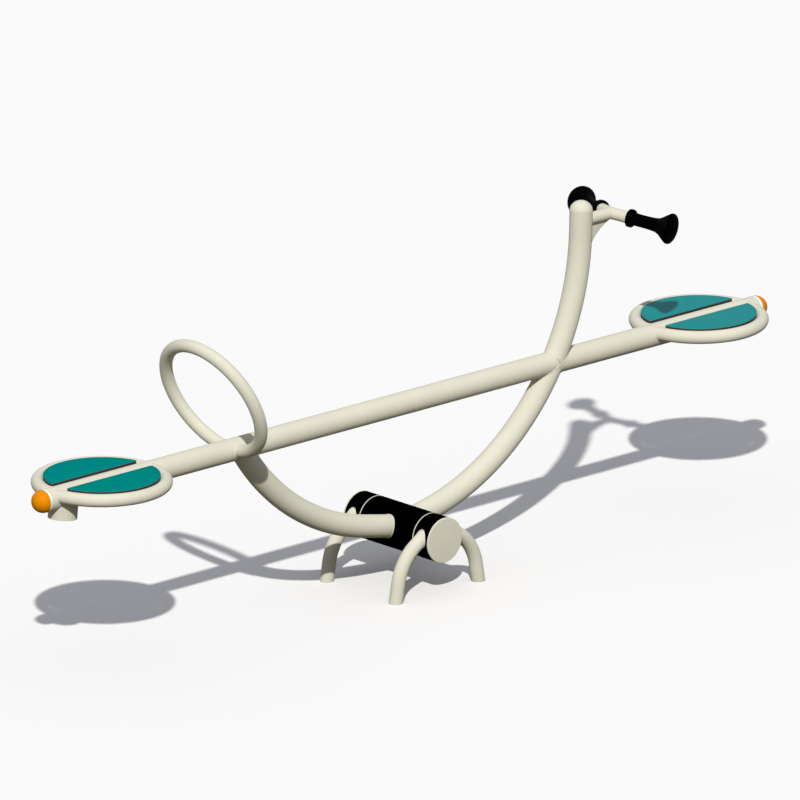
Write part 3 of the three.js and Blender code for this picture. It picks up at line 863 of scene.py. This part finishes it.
def gusset(column_foot, lean):
    """The curved web under the stem."""
    low, high = low_high("stem_gusset")
    centre, radius = GUSSET_CENTRE, GUSSET_R
    stem_low = STEM_Z - STEM_R
    top_x = centre[0] - math.sqrt(radius ** 2 - (stem_low - centre[2]) ** 2)

    def column_face(z):
        return column_foot[0] + (z - column_foot[2]) * lean[0] / lean[2] + BEAM_R / lean[2] - 1.5 * MM

    foot_z = low[2]
    start = math.acos((centre[0] - top_x) / radius)
    stop = math.asin((foot_z - centre[2]) / radius)
    outline = [(column_face(stem_low + 2 * MM), stem_low + 2 * MM), (column_face(foot_z), foot_z)]
    outline += [(centre[0] - radius * math.cos(a), centre[2] + radius * math.sin(a))
                for a in np.linspace(stop, start, 24)]
    outline += [(top_x, stem_low + 2 * MM)]
    verts, faces = prism(outline, low[1], high[1], lambda x, z, y: (x, y, z))
    obj = add_mesh("stem_web", verts, faces, CREAM, "rocker", ["stem_gusset"])
    fix_normals(obj)
    bevelled(obj, 1.5 * MM, 4)


# ---------------------------------------------------------------- hoop and ground stop
def hoop():
    up = np.array([-math.sin(HOOP_LEAN), 0, math.cos(HOOP_LEAN)])
    centre = HOOP_FOOT + up * RING_R
    inside = math.radians(6)
    path = Arc(centre, EY, up, RING_R, inside - math.pi / 2, 1.5 * math.pi - inside)
    tube = Tube(path, np.cross(EY, up), RING_TUBE, on_beam, on_beam, around=48, wall=RING_WALL)
    add_tube("hoop_tube", tube, CREAM, "rocker", ["hoop_handle"], step=6 * MM)
    add_bead("hoop_welds", [tube.rim(False), tube.rim(True)], "rocker")


def ground_stop():
    down = np.array([-math.sin(STOP_LEAN), 0, -math.cos(STOP_LEAN)])
    under_ring = RING_Z - RING_TUBE - 0.2 * MM

    def clear(p):
        return np.minimum(on_beam(p), under_ring - p[:, 2])

    path = Line(STOP_FOOT - down * 90 * MM, STOP_FOOT)
    tube = Tube(path, EY, STOP_R, clear, None, around=64, wall=STOP_WALL)
    add_tube("stop_tube", tube, CREAM, "rocker", ["ground_stop_tube"])
    r = STOP_PAD_R
    out, deep = 1.5 * MM, 14 * MM
    plug = rounded([(0, out), (r - out, out), (r, 0), (r, -deep), (0, -deep)], 0.8 * MM, 4)
    add_lathe("stop_pad", plug, STOP_FOOT, down, RUBBER, "rocker", ["ground_stop_buffer"])


# ---------------------------------------------------------------- hub
def hub():
    r = BARREL_R
    at = PIVOT
    inner = r - BARREL_WALL
    web_low, web_high, bore = WEB_LOW, WEB_HIGH, WEB_BORE
    e = SLEEVE_END
    sleeve = [(inner, -e, 0.4 * MM), (r, -e, 1.2 * MM), (r, e, 1.2 * MM), (inner, e, 0.4 * MM),
              (inner, web_high), (bore, web_high), (bore, web_low), (inner, web_low), (inner, -web_low),
              (bore, -web_low), (bore, -web_high), (inner, -web_high)]
    add_lathe("sleeve_shell", rounded(sleeve, 0.5 * MM, 4, closed=True), at, EY, BLACK_COAT, "rocker",
              ["pivot_sleeve"], around=128)
    for face, front in (("near", -1), ("far", 1)):
        axis = EY * front
        seam_low, seam_high = low_high("hub_seam_ring_far")
        seam_r = seam_high[2] - PIVOT[2]
        seam = rounded([(SEAM_BORE, seam_low[1]), (seam_r, seam_low[1]), (seam_r, seam_high[1]),
                        (SEAM_BORE, seam_high[1])], 0.7 * MM, 4, closed=True)
        add_lathe(f"seam_ring_{face}", seam, at, axis, CREAM, "rocker",
                  [f"hub_seam_ring_{face}"], around=128)
        lo, hi = COLLAR_LOW[1], COLLAR_HIGH[1]
        collar = [(inner, lo, 0.4 * MM), (r, lo, 1.2 * MM), (r, hi, 0.8 * MM), (inner, hi, 0.4 * MM),
                  (inner, DIAPHRAGM_HIGH), (DIAPHRAGM_BORE, DIAPHRAGM_HIGH),
                  (DIAPHRAGM_BORE, DIAPHRAGM_LOW), (inner, DIAPHRAGM_LOW)]
        add_lathe(f"collar_shell_{face}", rounded(collar, 0.5 * MM, 4, closed=True), at, axis, BLACK_COAT,
                  "stand", [f"hub_collar_{face}"], around=128)
        back, out = CAP_BACK, CAP_FACE
        plug_end = CAP_LOW[1]
        cap = [(0, back), (CAP_PLUG, back), (CAP_PLUG, plug_end), (inner - 0.6 * MM, plug_end),
               (inner - 0.6 * MM, back), (CAP_R, back, 0.8 * MM), (CAP_R, out, 3.5 * MM), (0, out)]
        add_lathe(f"cap_disc_{face}", rounded(cap, 0.5 * MM, 5), at, axis, CREAM, "stand",
                  [f"hub_cap_{face}"], around=128)


# ---------------------------------------------------------------- legs
def legs():
    on_barrel = clear_of_cylinder(PIVOT, EY, BARREL_R)
    for end, side in (("left", -1), ("right", 1)):
        for face, front in (("near", -1), ("far", 1)):
            def place(p):
                return np.array([side * p[0], front * LEG_Y, p[2]])
            start, corner, foot = place(LEG_TOP), place(LEG_CORNER), place(LEG_FOOT)
            beyond = foot + unit(foot - corner) * 12 * MM
            path = bent(start, corner, beyond, LEG_BEND)
            on_ground = clear_of_plane(np.zeros(3), EZ)
            on_foot = clear_of_plane(EZ * LEG_FOOT_WALL, EZ)
            tube = Tube(path, EY, LEG_R, on_barrel, on_ground, around=48, wall=LEG_WALL, bore_end=on_foot)
            add_tube(f"leg_tube_{end}_{face}", tube, CREAM, "stand",
                     [f"leg_{end}_{face}"], step=5 * MM)
            add_bead(f"leg_weld_{end}_{face}", [tube.rim(False)], "stand", radius=FLUSH_BEAD)


# ---------------------------------------------------------------- stage
def from_camera_side(azimuth, elevation):
    """Unit direction from the object towards a place at that azimuth and elevation, in degrees."""
    azimuth, elevation = math.radians(azimuth), math.radians(elevation)
    return Vector((math.sin(azimuth) * math.cos(elevation), -math.cos(azimuth) * math.cos(elevation),
                   math.sin(elevation)))


def floor():
    size = 60.0
    mesh = bpy.data.meshes.new("floor")
    corners = [(-size, -size, 0), (size, -size, 0), (size, size, 0), (-size, size, 0)]
    mesh.from_pydata(corners, [], [(0, 1, 2, 3)])
    obj = bpy.data.objects.new("floor", mesh)
    bpy.context.scene.collection.objects.link(obj)
    material, _, shader = nodes_of("floor")
    shader.inputs["Base Color"].default_value = (0.90, 0.89, 0.88, 1)
    shader.inputs["Roughness"].default_value = 0.9
    shader.inputs["Specular IOR Level"].default_value = 0.0
    mesh.materials.append(material)
    obj.visible_diffuse = False
    obj.visible_glossy = False


def studio_light():
    """A pale backdrop, a soft sky from above, a dim return from below, and one sun-like key."""
    world = bpy.data.worlds.new("studio")
    bpy.context.scene.world = world
    world.use_nodes = True
    tree = world.node_tree
    sky = tree.nodes["Background"]
    place = tree.nodes.new("ShaderNodeTexCoord")
    split = tree.nodes.new("ShaderNodeSeparateXYZ")
    height = tree.nodes.new("ShaderNodeMapRange")
    height.inputs["From Min"].default_value = -0.2
    height.inputs["From Max"].default_value = 0.2
    tree.links.new(place.outputs["Generated"], split.inputs["Vector"])
    tree.links.new(split.outputs["Z"], height.inputs["Value"])
    fill = ramp(tree, height.outputs["Result"], (0.12, 0.112, 0.075), (0.35, 0.361, 0.396), 0.0, 1.0)
    ray = tree.nodes.new("ShaderNodeLightPath")
    mix = tree.nodes.new("ShaderNodeMix")
    mix.data_type = "RGBA"
    tree.links.new(ray.outputs["Is Camera Ray"], mix.inputs["Factor"])
    tree.links.new(fill, mix.inputs[6])
    mix.inputs[7].default_value = (0.965, 0.965, 0.965, 1)
    tree.links.new(mix.outputs[2], sky.inputs["Color"])
    sky.inputs["Strength"].default_value = 1.0

    light = bpy.data.lights.new("key", "SUN")
    light.energy = 3.34
    light.color = (1.0, 0.99, 0.965)
    light.angle = math.radians(1.2)
    key = bpy.data.objects.new("key", light)
    key.rotation_mode = "QUATERNION"
    key.rotation_quaternion = from_camera_side(-43.06, 42.8).to_track_quat("Z", "Y")
    bpy.context.scene.collection.objects.link(key)


def camera():
    azimuth = -42.76
    back = from_camera_side(azimuth, 17.14)
    data = bpy.data.cameras.new("camera")
    data.lens = 1600
    data.sensor_width = 36
    width = 1.968
    distance = width / (data.sensor_width / data.lens)
    cam = bpy.data.objects.new("camera", data)
    cam.rotation_mode = "QUATERNION"
    cam.rotation_quaternion = back.to_track_quat("Z", "Y")
    right = from_camera_side(azimuth + 90, 0)
    up = back.cross(right)
    aim = Vector(BEAM_AXIS) - right * 6.15 * MM + up * 8.13 * MM
    cam.location = aim + back * distance
    data.clip_start, data.clip_end = 1.0, 400.0
    bpy.context.scene.collection.objects.link(cam)
    bpy.context.scene.camera = cam
    bpy.context.scene.view_settings.view_transform = "Standard"


def inner_pieces():
    """CAD nodes that stay as they are get the record's finish."""
    slots = {s["node"]: s["material_slot"] for s in frame["record"]["subparts"]}
    for name, obj in frame["nodes"].items():
        if not obj.hide_render:
            obj.data.materials.clear()
            obj.data.materials.append(FINISH[slots[name]])


camera()
floor()
studio_light()
beam()
for end, side in (("left", -1), ("right", 1)):
    beam_end(side, end)
seats()
column_foot, column_lean = bow_and_column()
handlebar(column_foot, column_lean)
hoop()
ground_stop()
hub()
legs()
inner_pieces()
